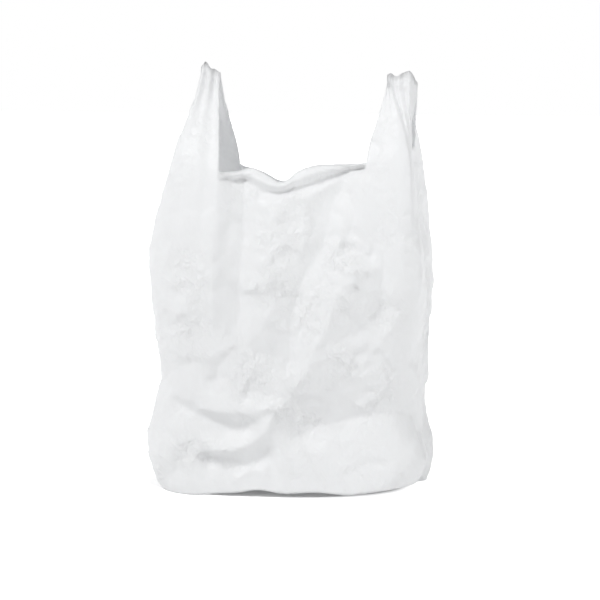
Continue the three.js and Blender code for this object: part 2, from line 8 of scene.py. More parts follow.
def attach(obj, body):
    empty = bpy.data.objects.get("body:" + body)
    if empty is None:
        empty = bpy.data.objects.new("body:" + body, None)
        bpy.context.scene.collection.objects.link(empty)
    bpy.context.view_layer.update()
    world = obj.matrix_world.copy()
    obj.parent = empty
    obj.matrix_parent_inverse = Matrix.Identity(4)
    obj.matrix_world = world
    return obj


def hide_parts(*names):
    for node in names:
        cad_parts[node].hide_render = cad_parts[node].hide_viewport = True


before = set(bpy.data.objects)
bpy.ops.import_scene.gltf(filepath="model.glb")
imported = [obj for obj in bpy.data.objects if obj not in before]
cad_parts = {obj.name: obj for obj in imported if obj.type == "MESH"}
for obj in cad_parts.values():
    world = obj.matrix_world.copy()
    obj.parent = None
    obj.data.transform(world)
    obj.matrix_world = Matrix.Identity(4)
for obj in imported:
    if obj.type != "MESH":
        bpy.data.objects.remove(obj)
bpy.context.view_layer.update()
scene = bpy.context.scene
scene.view_settings.view_transform = "Standard"

# Camera
# The photograph was taken with a long lens from a little above the bag and a little to its right, so
# that the right gusset just shows. Lengths are in metres.
camera_azimuth = math.radians(8)
camera_elevation = math.radians(7)
camera_distance = 3.5
camera_lens = 196.3
camera_reach = 50
aim_height = 0.215
aim_right = 0.0098
aim_down = 0.016

camera_back = Vector((
    math.sin(camera_azimuth) * math.cos(camera_elevation),
    -math.cos(camera_azimuth) * math.cos(camera_elevation),
    math.sin(camera_elevation),
))
camera_right = Vector((math.cos(camera_azimuth), math.sin(camera_azimuth), 0))
camera_up = camera_back.cross(camera_right)
aim = Vector((0, 0, aim_height)) + camera_right * aim_right - camera_up * aim_down
camera = bpy.data.objects.new("camera", bpy.data.cameras.new("camera"))
camera.data.lens = camera_lens
camera.data.clip_end = camera_reach
camera.location = aim + camera_back * camera_distance
camera.rotation_mode = "QUATERNION"
camera.rotation_quaternion = camera_back.to_track_quat("Z", "Y")
scene.collection.objects.link(camera)
scene.camera = camera

# Floor and backdrop
# A sheet of white paper under the bag. Away from the foot it has a painted white glow, seen by the camera
# and in reflections, which washes out the lamp's cast shadow there; only the real shadow in the gap under
# the lifted foot is left. Lengths are in metres.
floor_size = 12
floor_colour = (0.9, 0.9, 0.9, 1)
floor_roughness = 0.8
foot_width = 0.29
foot_depth = 0.18
foot_shadow_x = -0.018
# Strength of the painted white glow, against the distance from the middle of the foot's shadow. Distances
# from front to rear are stretched, so that the shadow left unpainted has the foot's shape.
floor_glow = [(0, 0.08), (0.136, 0.08), (0.149, 0.75), (0.3, 0.85), (1, 0.9)]


def new_material(name):
    material = bpy.data.materials.new(name)
    material.use_nodes = True
    nodes = material.node_tree.nodes
    return material, nodes, material.node_tree.links, nodes["Principled BSDF"]


def add_seen_background(nodes, links):
    """1 for a ray from the camera, a mirror or clear film, and 0 for the light that falls on things."""
    path = nodes.new("ShaderNodeLightPath")
    seen = path.outputs["Is Camera Ray"]
    for other in ("Is Glossy Ray", "Is Transmission Ray"):
        either = nodes.new("ShaderNodeMath")
        either.operation = "MAXIMUM"
        links.new(seen, either.inputs[0])
        links.new(path.outputs[other], either.inputs[1])
        seen = either.outputs[0]
    return seen


floor_mesh = bpy.data.meshes.new("floor")
half = floor_size / 2
floor_mesh.from_pydata(
    [(-half, -half, 0), (half, -half, 0), (half, half, 0), (-half, half, 0)], [], [(0, 1, 2, 3)])
floor = bpy.data.objects.new("floor", floor_mesh)
scene.collection.objects.link(floor)
white_paper_painted_glow, nodes, links, shader = new_material("white_paper_painted_glow")
shader.inputs["Base Color"].default_value = floor_colour
shader.inputs["Roughness"].default_value = floor_roughness
shader.inputs["Emission Color"].default_value = (1, 1, 1, 1)
coordinates = nodes.new("ShaderNodeTexCoord")
footprint = nodes.new("ShaderNodeMapping")
footprint.inputs["Location"].default_value = (-foot_shadow_x, 0, 0)
footprint.inputs["Scale"].default_value = (1, foot_width / foot_depth, 1)
links.new(coordinates.outputs["Object"], footprint.inputs["Vector"])
from_bag = nodes.new("ShaderNodeVectorMath")
from_bag.operation = "LENGTH"
links.new(footprint.outputs["Vector"], from_bag.inputs[0])
# Painted glow: the floor is made whiter away from the foot, hiding the cast shadow there
painted_glow_strength = nodes.new("ShaderNodeFloatCurve")
curve_points = painted_glow_strength.mapping.curves[0].points
curve_points[0].location = floor_glow[0]
curve_points[1].location = floor_glow[-1]
for reach, strength in floor_glow[1:-1]:
    curve_points.new(reach, strength)
for point in curve_points:
    point.handle_type = "VECTOR"
painted_glow_strength.mapping.update()
links.new(from_bag.outputs["Value"], painted_glow_strength.inputs["Value"])
glow = nodes.new("ShaderNodeMath")
glow.operation = "MULTIPLY"
links.new(painted_glow_strength.outputs["Value"], glow.inputs[1])
links.new(add_seen_background(nodes, links), glow.inputs[0])
links.new(glow.outputs[0], shader.inputs["Emission Strength"])
floor_mesh.materials.append(white_paper_painted_glow)

# Light
# A broad soft lamp far off and high on the left, a weak one low on the right, and a white room. The
# room looks white behind the bag but lights it less than that, so that the folds keep their shade.
room_level = 0.52
lamps = [
    {"name": "key_lamp", "place": (-4.5, -4.5, 7.8), "size": 4.2, "watts": 540},
    {"name": "fill_lamp", "place": (2.4, -1.0, 0.7), "size": 2.0, "watts": 17},
]
lamp_target = Vector((0, 0, 0.22))

world = bpy.data.worlds.new("room")
scene.world = world
world.use_nodes = True
nodes = world.node_tree.nodes
links = world.node_tree.links
room = nodes["Background"]
room.inputs["Color"].default_value = (1, 1, 1, 1)
seen_white = nodes.new("ShaderNodeMapRange")
links.new(add_seen_background(nodes, links), seen_white.inputs["Value"])
seen_white.inputs["To Min"].default_value = room_level
seen_white.inputs["To Max"].default_value = 1
links.new(seen_white.outputs["Result"], room.inputs["Strength"])

for lamp in lamps:
    light = bpy.data.lights.new(lamp["name"], "AREA")
    light.shape = "DISK"
    light.size = lamp["size"]
    light.energy = lamp["watts"]
    holder = bpy.data.objects.new(lamp["name"], light)
    holder.location = lamp["place"]
    holder.rotation_mode = "QUATERNION"
    holder.rotation_quaternion = (holder.location - lamp_target).to_track_quat("Z", "Y")
    scene.collection.objects.link(holder)

# Film bag
# One gusseted tube of thin white polyethylene film, welded across the bottom and across the top of
# each handle, with the mouth and the two gusset notches cut out. It stands opened out on its bottom.

# Lengths here are in millimetres from the middle of the bottom
MM = 0.001
film_wall = 0.25
body_half_width = 146
body_half_depth = 77
rim_height = 345
mouth_width = 154
mouth_offset = 7
gusset_notch_width = 40
gusset_notch_bottom = 351
gusset_edge_height = 364
mouth_left = mouth_offset - mouth_width / 2
mouth_right = mouth_offset + mouth_width / 2


def profile(*points):
    """Smooth curve through a short list of (place, value) points."""
    places = np.array([place for place, value in points], float)
    values = np.array([value for place, value in points], float)
    before = np.maximum(np.arange(len(points)) - 1, 0)
    after = np.minimum(np.arange(len(points)) + 1, len(points) - 1)
    slopes = (values[after] - values[before]) / (places[after] - places[before])

    def at(place):
        place = np.clip(place, places[0], places[-1])
        i = np.clip(np.searchsorted(places, place, side="right") - 1, 0, len(points) - 2)
        span = places[i + 1] - places[i]
        rise = values[i + 1] - values[i]
        t = (place - places[i]) / span
        start_bend = span * slopes[i] - rise
        end_bend = rise - span * slopes[i + 1]
        return values[i] + rise * t + t * (1 - t) * (start_bend * (1 - t) + end_bend * t)
    return at


def mix(a, b, t):
    return a + (b - a) * t


def smooth(t):
    t = np.clip(t, 0, 1)
    return t * t * (3 - 2 * t)


# Outline of the standing body, as a share of its half width or depth against the share of the rim
# height, and the corners and crown of its section
left_outline = profile(
    (0, 0.93), (0.03, 0.97), (0.09, 1.01), (0.165, 1.025), (0.26, 1.0), (0.35, 0.955), (0.48, 0.98),
    (0.64, 1.015), (0.8, 0.97), (0.9, 0.92), (1, 0.86), (1.06, 0.82))
right_outline = profile(
    (0, 0.95), (0.03, 0.975), (0.07, 1.0), (0.12, 1.01), (0.23, 0.945), (0.4, 0.945), (0.6, 0.985),
    (0.72, 0.985), (0.88, 0.94), (1, 0.905), (1.06, 0.89))
depth_outline = profile(
    (0, 1.09), (0.03, 1.085), (0.1, 1.06), (0.2, 1.01), (0.33, 0.985), (0.6, 1.02), (0.8, 0.95),
    (0.9, 0.89), (1, 0.81), (1.06, 0.74))
corner_radius = profile((0, 44), (0.3, 44), (0.6, 38), (0.85, 24), (1, 14))
panel_bulge = profile((0, 7), (0.2, 7), (0.6, 6), (1, 2))

# Rim of the mouth, and the depth of its turned-in collar, across the mouth from left to right
front_rim = profile(
    (0, -4), (0.1, -4), (0.21, 0), (0.31, -6), (0.4, -13), (0.46, -12), (0.51, -6), (0.58, 0), (0.7, 4),
    (0.88, 4), (1, 7))
front_collar = profile(
    (0, 6), (0.14, 11), (0.28, 19), (0.44, 11), (0.56, 18), (0.68, 16), (0.86, 7), (1, 5))
rear_rim = profile(
    (0, -6), (0.17, -14), (0.31, -24), (0.45, -15), (0.58, -12), (0.76, -12), (0.88, -5), (1, 5))
rear_collar = profile((0, 7), (0.3, 14), (0.6, 12), (1, 6))
strap_collar = 6
# How far inwards the film leans down its collar, from the rim (0) over the roll to the crease under
# it (1) and out again below
collar_turn = ([0, 0.25, 0.5, 1, 1.7], [6, 2, 0, 8, 0])
pleat_span = 4

# The foot's front right corner is lifted off the floor, and its front edge a little, in waves
corner_lift = 14
corner_lift_from = (132, -34)
corner_lift_reach = 70
corner_lift_height = 45
edge_lift = profile(
    (-0.7, 0), (-0.53, 2.5), (-0.37, 4), (-0.2, 7.5), (0.01, 4.5), (0.27, 6.5), (0.52, 4), (0.64, 6),
    (0.74, 5), (0.95, 2), (1.1, 0))
edge_lift_height = 30


class Section:
    """Quarter of the round-cornered section at a height, measured from the panel's middle."""

    def __init__(self, height, right):
        up = height / rim_height
        outline = np.where(right, right_outline(up), left_outline(up))
        self.half_width = outline * body_half_width
        self.half_depth = depth_outline(up) * body_half_depth
        self.radius = corner_radius(up)
        self.bulge = panel_bulge(up)
        self.flat = self.half_width - self.radius
        half_corner = self.radius * np.pi / 4
        self.fold = self.flat + half_corner
        self.end = self.fold + half_corner + self.half_depth - self.radius

    def at(self, along):
        out = self.bulge * (1 - np.minimum(along / self.fold, 1) ** 2)
        angle = np.clip((along - self.flat) / self.radius, 0, np.pi / 2)
        corner_x = self.flat + self.radius * np.sin(angle)
        corner_y = self.half_depth - self.radius * (1 - np.cos(angle))
        past_corner = along > self.flat + self.radius * np.pi / 2
        x = np.where(along <= self.flat, along, np.where(past_corner, self.half_width, corner_x))
        y = np.where(along <= self.flat, self.half_depth, np.where(past_corner, self.end - along, corner_y))
        return x, y + out


mid_section = Section(rim_height / 2, True)
mid_fold = float(mid_section.fold)
corner_span = float(mid_section.end) - mid_fold
round_tube = 4 * float(mid_section.end)
left_edge = mouth_left / mid_fold
right_edge = mouth_right / mid_fold

# Creases and soft folds drawn on the tube as (around, up). Around is 0 in the middle of the front, 1
# at the front right corner, 2 to 4 along the rear and 5 (or -1) at the front left corner. Up is the
# share of the rim height. "left" and "right" are how softly a fold dies away beside its path.
folds = [
    # Under each handle the strap stands proud of the panel between them
    {
        "path": [(left_edge, 1.08), (left_edge, 0.72), (left_edge, 0.35)],
        "rise": 9, "left": 13, "right": 40, "crisp": 1.2, "fade": 0.5,
    },
    {
        "path": [(3 - left_edge, 1.08), (3 - left_edge, 0.45)],
        "rise": 7, "left": 46, "right": 3, "crisp": 2, "fade": 0.3,
    },
    {
        "path": [(3 - right_edge, 1.08), (3 - right_edge, 0.5)],
        "rise": 7, "left": 3, "right": 40, "crisp": 2, "fade": 0.3,
    },
    # The front of the right handle runs down to the left as a long facet: a valley on its left, a ridge
    # on its right, and the ridge's end curls round to the left as the lip of a hollow
    {
        "path": [(0.495, 1.0), (0.428, 0.942), (0.363, 0.888), (0.317, 0.823), (0.292, 0.767), (0.186, 0.7),
            (0.1, 0.627), (0.062, 0.536), (0.03, 0.42), (0, 0.34)],
        "rise": -10, "left": 14, "right": 24, "fade": 0.14,
    },
    {
        "path": [(0.528, 0.8), (0.54, 0.68), (0.444, 0.615), (0.396, 0.571), (0.326, 0.497), (0.262, 0.456),
            (0.206, 0.407), (0.146, 0.357), (0.04, 0.3)],
        "rise": 10, "left": 18, "right": 15,
    },
    {
        "path": [(0.08, 0.31), (0, 0.285), (-0.06, 0.258), (-0.129, 0.201), (-0.203, 0.175),
            (-0.274, 0.156), (-0.378, 0.143), (-0.512, 0.136), (-0.68, 0.14)],
        "rise": 6.5, "left": 6, "right": 11, "fade": 0.18,
    },
    # The hollow above that lip and the lip above the hollow
    {
        "path": [(-0.95, 0.295), (-0.737, 0.262), (-0.564, 0.233), (-0.397, 0.208), (-0.287, 0.211),
            (-0.153, 0.245)],
        "rise": -8, "left": 9, "right": 15,
    },
    {
        "path": [(-0.72, 0.262), (-0.402, 0.257), (-0.233, 0.258), (-0.114, 0.273), (0.083, 0.276)],
        "rise": 4.5, "left": 14, "right": 5,
    },
    {
        "path": [(-0.7, 0.115), (-0.499, 0.112), (-0.287, 0.101), (-0.159, 0.124), (-0.02, 0.16)],
        "rise": -8, "left": 8, "right": 24,
    },
    {"path": [(-0.33, 0.33), (-0.167, 0.31), (-0.03, 0.309)], "rise": -3, "left": 8, "right": 6},
    {"path": [(-0.64, 0.345), (-0.423, 0.368)], "rise": -3, "left": 8, "right": 6},
    {"path": [(0.08, 0.305), (0.197, 0.32), (0.34, 0.325)], "rise": 2.5, "left": 5, "right": 6},
    # The crease low on the right, over a belly of slack film
    {
        "path": [(-0.02, 0.15), (0.085, 0.184), (0.207, 0.207), (0.319, 0.222), (0.596, 0.247),
            (0.88, 0.257), (1.25, 0.25)],
        "rise": -14, "left": 34, "right": 30, "crisp": 1.1, "fade": 0.15,
    },
    {"path": [(0.442, 0.225), (0.427, 0.169), (0.455, 0.1)], "rise": -2.5, "left": 7, "right": 12},
    {"path": [(-1.35, 0.17), (-1, 0.13), (-0.8, 0.1)], "rise": 5, "left": 18, "right": 18, "crisp": 2},
    {"path": [(-1.1, 0.2), (-0.83, 0.12), (-0.75, 0.04)], "rise": -4, "left": 9, "right": 12},
    # Crumpled patch below the right handle, and the facets under it
    {"path": [(0.37, 0.8), (0.427, 0.743), (0.47, 0.7)], "rise": 3, "left": 6, "right": 6, "fade": 0.25},
    {
        "path": [(0.4, 0.722), (0.481, 0.697), (0.613, 0.704), (0.76, 0.7)],
        "rise": 6, "left": 7, "right": 10,
    },
    {"path": [(0.42, 0.775), (0.55, 0.755), (0.72, 0.74)], "rise": -7, "left": 15, "right": 7},
    {"path": [(0.5, 0.95), (0.54, 0.85), (0.5, 0.78)], "rise": -3, "left": 7, "right": 9},
    {"path": [(0.545, 0.5), (0.72, 0.56), (0.87, 0.52)], "rise": -3, "left": 10, "right": 8},
    {"path": [(0.4, 0.48), (0.6, 0.4), (0.72, 0.32)], "rise": 3, "left": 10, "right": 16},
    {"path": [(0.96, 1.04), (1.0, 0.88), (1.04, 0.74), (1.06, 0.55)], "rise": 6, "left": 9, "right": 20},
    {"path": [(0.734, 0.9), (0.76, 0.7), (0.75, 0.5), (0.78, 0.36)], "rise": -3.5, "left": 10, "right": 12},
    # The panel between the handles
    {
        "path": [(0.35, 0.96), (0.264, 0.864), (0.17, 0.788)],
        "rise": -3, "left": 14, "right": 16, "fade": 0.25,
    },
    {
        "path": [(-0.35, 1.0), (-0.33, 0.78), (-0.37, 0.52), (-0.33, 0.36)],
        "rise": -8, "left": 13, "right": 20, "fade": 0.3,
    },
    {"path": [(-0.184, 0.9), (-0.099, 0.857), (0, 0.84)], "rise": 3, "left": 8, "right": 6, "fade": 0.25},
    {"path": [(-0.2, 0.74), (-0.1, 0.68), (-0.175, 0.6)], "rise": 3.5, "left": 7, "right": 8, "fade": 0.25},
    {"path": [(-0.02, 0.77), (0.05, 0.74), (0.13, 0.75)], "rise": -3, "left": 6, "right": 8, "fade": 0.25},
    {"path": [(-0.256, 0.56), (-0.262, 0.467), (-0.25, 0.34)], "rise": 3, "left": 9, "right": 6},
    {"path": [(-0.13, 0.53), (-0.04, 0.48), (-0.08, 0.4)], "rise": -3, "left": 8, "right": 10},
    # The left shoulder and side
    {
        "path": [(-0.62, 1.0), (-0.66, 0.82), (-0.64, 0.6), (-0.68, 0.45)],
        "rise": -2.5, "left": 8, "right": 10,
    },
    {"path": [(-0.85, 1.0), (-0.88, 0.78), (-0.83, 0.55)], "rise": -3.5, "left": 9, "right": 12},
    {"path": [(-1.1, 0.96), (-1.14, 0.8), (-1.06, 0.62)], "rise": 3, "left": 9, "right": 7},
    {"path": [(-1.15, 0.33), (-0.87, 0.385), (-0.66, 0.42)], "rise": -3, "left": 9, "right": 12},
    # Gussets: creased in at the notch, slack in the middle, tucked in again at the weld
    {"path": [(1.5, 1.06), (1.5, 0.8), (1.52, 0.55)], "rise": -12, "left": 20, "right": 20, "fade": 0.5},
    {"path": [(4.5, 1.06), (4.5, 0.8), (4.47, 0.55)], "rise": -12, "left": 20, "right": 20, "fade": 0.5},
    {"path": [(1.5, 0), (1.5, 0.1), (1.47, 0.24)], "rise": -14, "left": 15, "right": 15, "fade": 0.5},
    {"path": [(4.5, 0), (4.5, 0.1), (4.53, 0.24)], "rise": -14, "left": 15, "right": 15, "fade": 0.5},
    {"path": [(1.18, 0.27), (1.27, 0.18), (1.2, 0.09)], "rise": -6, "left": 7, "right": 9},
    {"path": [(1.75, 0.3), (1.62, 0.42), (1.7, 0.6)], "rise": 4, "left": 10, "right": 16},
    {"path": [(4.25, 0.28), (4.38, 0.42), (4.3, 0.62)], "rise": 4, "left": 16, "right": 10},
    # The rear, slack in the same way from the left handle down to the right
    {
        "path": [(3.46, 0.98), (3.3, 0.85), (3.12, 0.66), (2.95, 0.45), (2.92, 0.3)],
        "rise": 6.5, "left": 12, "right": 18,
    },
    {"path": [(3.15, 0.9), (3.0, 0.72), (2.82, 0.5)], "rise": -5, "left": 14, "right": 12},
    {"path": [(2.15, 0.24), (2.55, 0.2), (2.9, 0.215), (3.3, 0.27)], "rise": -6.5, "left": 11, "right": 20},
    {"path": [(2.5, 0.27), (2.9, 0.285), (3.2, 0.34)], "rise": 4, "left": 8, "right": 12},
    {"path": [(2.6, 0.13), (3.0, 0.11), (3.5, 0.14)], "rise": 4, "left": 14, "right": 10},
    {"path": [(2.75, 0.85), (2.62, 0.7), (2.7, 0.55)], "rise": -4, "left": 10, "right": 10},
    {"path": [(3.75, 0.72), (3.68, 0.55), (3.78, 0.4)], "rise": -4, "left": 10, "right": 10},
    {"path": [(2.1, 0.8), (2.2, 0.62), (2.12, 0.42)], "rise": -3.5, "left": 10, "right": 10},
]
usual_fade = 0.2
usual_crispness = 1.25
start_on_fade = 0.15

# Between them the slack film is creased all over. The creases' places and sizes are spread by
# multiples of uneven shares, one share for each.
crease_count = 96
crease_steps = {
    "around": 0.7549, "up": 0.5698, "turn": 0.618, "length": 0.37, "bend": 0.43, "rise": 0.29,
    "left": 0.53, "right": 0.83,
}
crease_length = (34, 66)
crease_bend = (-0.4, 0.4)
crease_rise = (1.2, 2.8)
crease_softness = (6, 11)
lowest_crease = 0.05
crease_zone = 0.9
once_round = 6


def uneven(number, step):
    return (0.5 + number * step) % 1


def add_creases():
    for number in range(crease_count):
        around = once_round * uneven(number, crease_steps["around"])
        up = lowest_crease + crease_zone * uneven(number, crease_steps["up"])
        turn = math.pi * uneven(number, crease_steps["turn"])
        half_length = mix(*crease_length, uneven(number, crease_steps["length"])) / 2
        bend = half_length * mix(*crease_bend, uneven(number, crease_steps["bend"]))
        path = []
        for along, aside in ((-half_length, 0), (0, bend), (half_length, 0)):
            right_by = along * math.cos(turn) - aside * math.sin(turn)
            up_by = along * math.sin(turn) + aside * math.cos(turn)
            path.append((around + right_by / mid_fold, up + up_by / rim_height))
        rise = mix(*crease_rise, uneven(number, crease_steps["rise"])) * (1 if number % 2 else -1)
        left = mix(*crease_softness, uneven(number, crease_steps["left"]))
        right = mix(*crease_softness, uneven(number, crease_steps["right"]))
        folds.append({"path": path, "rise": rise, "left": left, "right": right})


add_creases()


def round_distance(around):
    """Distance round the tube for a place given as in the list of folds."""
    turns = math.floor((around + 1) / once_round)
    place = around - once_round * turns
    # The panels lie from -1 to 1 and from 2 to 4, and the gussets between them
    panels = np.interp(place, [-1, 1, 2, 4, 5], [-1, 1, 1, 3, 3])
    corners = np.interp(place, [-1, 1, 2, 4, 5], [0, 0, 2, 2, 4])
    return float(panels * mid_fold + corners * corner_span + turns * round_tube)


def fold_height(fold, across, height):
    """How far one fold lifts the film, at places across the tube and up it."""
    fade = fold.get("fade", usual_fade)
    crisp = fold.get("crisp", usual_crispness)
    points = np.array([(round_distance(around), up * rim_height) for around, up in fold["path"]])
    spans = np.diff(points, axis=0)
    steps = np.hypot(spans[:, 0], spans[:, 1])
    starts = np.concatenate([[0], np.cumsum(steps)])
    gap = np.full(across.shape, np.inf)
    side = np.ones(across.shape)
    along = np.zeros(across.shape)
    for (ax, ay), (bx, by), start, step in zip(points[:-1], points[1:], starts, steps):
        px = across - np.round((across - ax) / round_tube) * round_tube - ax
        py = height - ay
        dx = bx - ax
        dy = by - ay
        t = np.clip((px * dx + py * dy) / step ** 2, 0, 1)
        new_gap = np.hypot(px - t * dx, py - t * dy)
        closer = new_gap < gap
        gap = np.where(closer, new_gap, gap)
        side = np.where(closer, dx * py - dy * px, side)
        along = np.where(closer, (start + t * step) / starts[-1], along)
    soft = np.where(side > 0, fold["left"], fold["right"])
    starts_at_rim = fold["path"][0][1] >= 1
    fade_in = smooth(along / fade + (1 if starts_at_rim else start_on_fade))
    return fold["rise"] * fade_in * smooth((1 - along) / fade) * np.exp(-(gap / soft) ** crisp)


# Columns of the film round the tube, anticlockwise seen from above, from the left end of the front
# mouth. Each stretch has its zone, whether it is at the rear and on the right, and whether its share
# runs down from 1.
mouth_spans = 58
panel_spans = 22
gusset_spans = 18
notch_spans = 8
MOUTH, PANEL, GUSSET, NOTCH = range(4)
zone_spans = {MOUTH: mouth_spans, PANEL: panel_spans, GUSSET: gusset_spans, NOTCH: notch_spans}
zone_order = [
    (MOUTH, False, True, False), (PANEL, False, True, False), (GUSSET, False, True, False),
    (NOTCH, False, True, False), (NOTCH, True, True, True), (GUSSET, True, True, True),
    (PANEL, True, True, True), (MOUTH, True, True, True), (PANEL, True, False, False),
    (GUSSET, True, False, False), (NOTCH, True, False, False), (NOTCH, False, False, True),
    (GUSSET, False, False, True), (PANEL, False, False, True),
]
station_rows = []
for zone, rear, right, turned in zone_order:
    for i in range(zone_spans[zone]):
        share = i / zone_spans[zone]
        station_rows.append((zone, rear, right, 1 - share if turned else share))
zone = np.array([row[0] for row in station_rows])[:, None]
rear = np.array([row[1] for row in station_rows])[:, None]
right = np.array([row[2] for row in station_rows])[:, None]
share = np.array([row[3] for row in station_rows], float)[:, None]
in_mouth = zone == MOUTH
mouth_x = mix(mouth_left, mouth_right, share)
on_right = np.where(in_mouth, mouth_x > 0, right)
side_x = np.where(on_right, 1.0, -1.0)
side_y = np.where(rear, 1.0, -1.0)

# Where each column's film ends at the top, and how deep its collar is
rim_at_mouth = rim_height + np.where(rear, rear_rim(share), front_rim(share))
mouth_end_height = rim_height + np.where(rear, rear_rim(right * 1.0), front_rim(right * 1.0))
top = np.select(
    [in_mouth, zone == PANEL, zone == GUSSET],
    [rim_at_mouth, mix(mouth_end_height, gusset_edge_height, share / 2),
     mix(mouth_end_height, gusset_edge_height, (1 + share) / 2)],
    mix(gusset_edge_height, gusset_notch_bottom, smooth(share)))
collar = np.where(in_mouth, np.where(rear, rear_collar(share), front_collar(share)), strap_collar)


def body_points(height, lean):
    """Points of the film at each column and height, and the distance round the tube."""
    section = Section(height, on_right)
    mouth_end = np.where(right, mouth_right, -mouth_left)
    notch = section.end - gusset_notch_width / 2
    along = np.select(
        [in_mouth, zone == PANEL, zone == GUSSET],
        [np.abs(mouth_x) + 0 * height, mix(mouth_end, section.fold, share),
         mix(section.fold, notch, share)],
        mix(notch, section.end, share))
    x, y = section.at(along)
    past_fold = mid_fold + (along - section.fold) * corner_span / (section.end - section.fold)
    before_fold = along * mid_fold / np.maximum(section.fold, mid_fold)
    round_half = np.where(along <= section.fold, before_fold, past_fold)
    across = np.where(rear, round_tube / 2 - round_half, round_half) * side_x
    rise = sum(fold_height(fold, across, height) for fold in folds)
    on_side = smooth(0.5 + (along - section.fold) / (section.end - section.fold))
    push = rise - lean
    plan_x = side_x * (x + push * on_side)
    plan_y = side_y * (y + push * (1 - on_side))
    from_corner = np.hypot(plan_x - corner_lift_from[0], plan_y - corner_lift_from[1])
    lift = corner_lift * np.maximum(1 - (from_corner / corner_lift_reach) ** 2, 0)
    lift = lift * smooth(1 - height / corner_lift_height)
    front_edge = np.where(rear, 0, edge_lift(side_x * round_half / mid_fold))
    lift = lift + front_edge * smooth(1 - height / edge_lift_height)
    points = np.stack([plan_x, plan_y, height + lift], -1)
    return points, across


# Rows of the film from the foot to the rim
wall_rows = 100
collar_rows = 24
fixed_share = 0.82
floor_rings = 8
low_heights = np.linspace(0, fixed_share * rim_height, wall_rows + 1)[None, :] + 0 * share
rise_to_rim = np.linspace(0, 1, collar_rows + 1)[1:][None, :]
high_heights = mix(fixed_share * rim_height, top, rise_to_rim)
heights = np.concatenate([low_heights, high_heights], axis=1)
below_rim = (top - heights) / collar
from_pleat = np.minimum(share, 1 - share) * mouth_width / pleat_span
lean = np.interp(below_rim, *collar_turn)
lean = lean * in_mouth * smooth(from_pleat)
body, around = body_points(heights, lean)

# The bottom: the tube's end is welded flat, and opened out the weld runs along the middle of the floor
weld_end = 0.86
section_at_foot = Section(0, right)
corner_x = np.where(right, 1, -1) * section_at_foot.at(section_at_foot.fold)[0]
weld_x = weld_end * np.select(
    [in_mouth, zone == PANEL],
    [mouth_x, mix(np.where(right, mouth_right, mouth_left), corner_x, share)],
    corner_x)
weld_points = np.concatenate([weld_x, 0 * weld_x, 0 * weld_x], axis=1)[:, None, :]
ring_shares = np.linspace(0, 1, floor_rings + 1)[:-1][None, :, None]
bottom = mix(weld_points, body[:, :1], ring_shares)
grid = np.concatenate([bottom, body], axis=1)
columns_count, rows_count = grid.shape[:2]

points = list(grid.reshape(-1, 3))
vertex = np.arange(columns_count * rows_count).reshape(columns_count, rows_count)
# Columns that reach the weld at the same place share a vertex there
shared = {}
for column in range(columns_count):
    key = round(float(weld_x[column, 0]), 1)
    vertex[column, 0] = shared.setdefault(key, vertex[column, 0])

# The handles
# Each is a band of film from the mouth edge round the corner fold to the notch edge. It rises from
# the front, closes over its gathered top and comes down to the rear.
gather_thickness = 12
crown_drop = 9
strap_rows = 36
slope_rows = 8
strap_pleat_depth = 2.2
strap_pleats = 2.5
inner_layer_share = 0.4
kept_slope = 0.8
kept_side_slope = 0.5
arrival_across = 0.7
panel_arrival_deep = 0.45
gusset_arrival_deep = 1.9
pleats_full = 0.8
gathers = {
    False: {
        "x": -90, "width": 21, "top": 453,
        "across": ([0, 1, 2], [0.5, -0.5, 0.35]),
        "deep": ([0, 1, 1.25, 2], [1, 0.75, 0.3, 0.3]),
        "crown": profile((0, -12), (0.3, -8), (0.5, -7), (0.75, 0), (1, -5), (1.5, -9), (2, -10)),
    },
    True: {
        "x": 117, "width": 28, "top": 444,
        "across": ([0, 1, 2], [-0.64, -0.5, 0.5]),
        "deep": ([0, 1, 2], [0.5, 1.3, 0.45]),
        "crown": profile((0, -4), (1, -2), (1.2, -5), (1.5, -1), (1.75, 0), (2, -11)),
    },
}


def gather_point(place, is_right, front_or_rear):
    gather = gathers[is_right]
    x = gather["x"] + gather["width"] * np.interp(place, *gather["across"])
    depth = np.interp(place, *gather["deep"]) * gather_thickness / 2
    return np.array([x, front_or_rear * depth, gather["top"] + gather["crown"](place) - crown_drop])


def strap_curve(foot, below, gather, place, front_or_rear, is_right):
    """Rising points of the band from the body's rim to its gathered top."""
    rise = gather[2] - foot[2]
    direction = (foot - below) / np.linalg.norm(foot - below)
    direction[0] *= kept_side_slope
    lean = np.array([(gather[0] - foot[0]) / rise, (gather[1] - foot[1]) / rise, 1])
    upright = smooth(place - 1)
    start = mix(direction, lean, mix(1 - kept_slope, 0, upright)) * rise
    start[1] *= 1 - upright
    arrival_deep = mix(panel_arrival_deep, gusset_arrival_deep, upright)
    end = np.array([lean[0] * arrival_across, lean[1] * arrival_deep, 1]) * rise
    t = (np.arange(1, strap_rows + 1) / strap_rows)[:, None]
    t2 = t * t
    t3 = t2 * t
    curve = foot * (2 * t3 - 3 * t2 + 1) + start * (t3 - 2 * t2 + t)
    curve += gather * (3 * t2 - 2 * t3) + end * (t3 - t2)
    is_inner = place < 1 if is_right else place > 1
    depth = strap_pleat_depth * (inner_layer_share if is_inner else 1)
    wave = math.sin(place * strap_pleats * 2 * math.pi)
    curve[:, 1] += front_or_rear * depth * smooth(t[:, 0] / pleats_full) * wave
    return curve


def band_columns(is_rear, is_right):
    """Places across a handle's band, from 0 at the mouth over 1 at the fold to 2 at the notch, with
    their columns."""
    picked = []
    for i, (column_zone, on_rear, on_right_side, column_share) in enumerate(station_rows):
        if on_rear != is_rear:
            continue
        if column_zone == MOUTH and column_share == (1 if is_right else 0):
            picked.append((0, i))
        if on_right_side != is_right:
            continue
        if column_zone == PANEL:
            picked.append((column_share, i))
        if column_zone == GUSSET:
            picked.append((1 + column_share, i))
        if column_zone == NOTCH and column_share == 0:
            picked.append((2, i))
    return sorted(picked)


